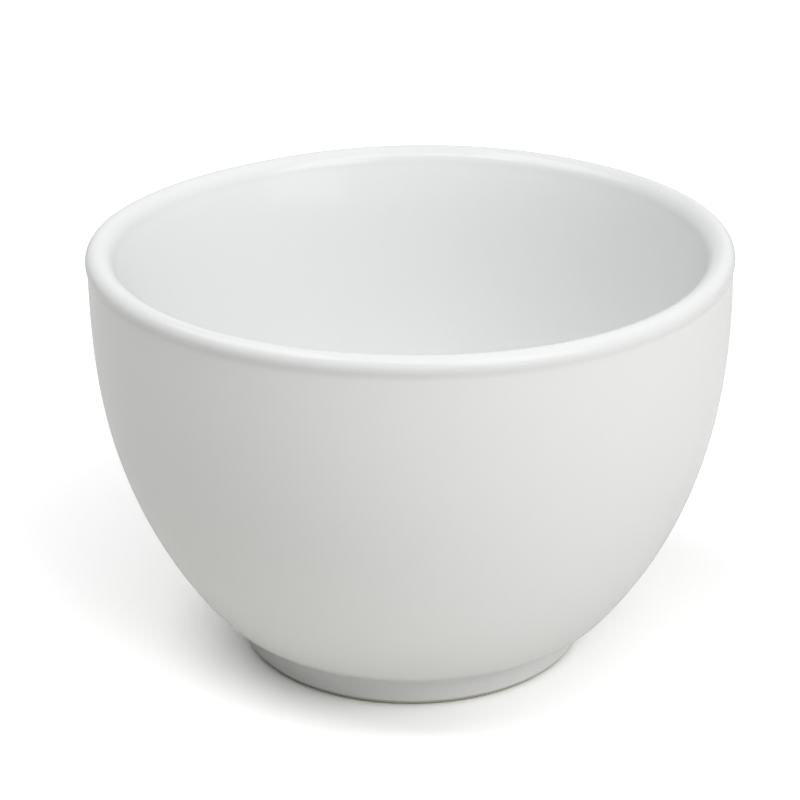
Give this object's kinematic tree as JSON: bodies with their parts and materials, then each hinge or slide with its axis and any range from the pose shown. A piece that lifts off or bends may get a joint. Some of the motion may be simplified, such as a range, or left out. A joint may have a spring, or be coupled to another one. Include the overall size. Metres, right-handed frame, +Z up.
{
  "type": "latte bowl",
  "caption": "Deep round drinking bowl in white glazed porcelain, with a rolled lip and a low foot ring.",
  "frame": {"origin": "centre of the foot ring, in the plane that the bowl stands on", "axes": "+Z up the bowl's axis of revolution, towards the lip; -Y towards the viewer of the picture, +X to their right"},
  "size_m": [0.127, 0.127, 0.0849],
  "materials": {
    "fired_clay": "matt, unglazed where it stands",
    "glaze": "smooth, glossy, cool white"
  },
  "bodies": {
    "root": {"porcelain_body": "fired_clay", "glaze_coat": "glaze", "foot_well_glaze": "glaze"}
  },
  "joints": []
}
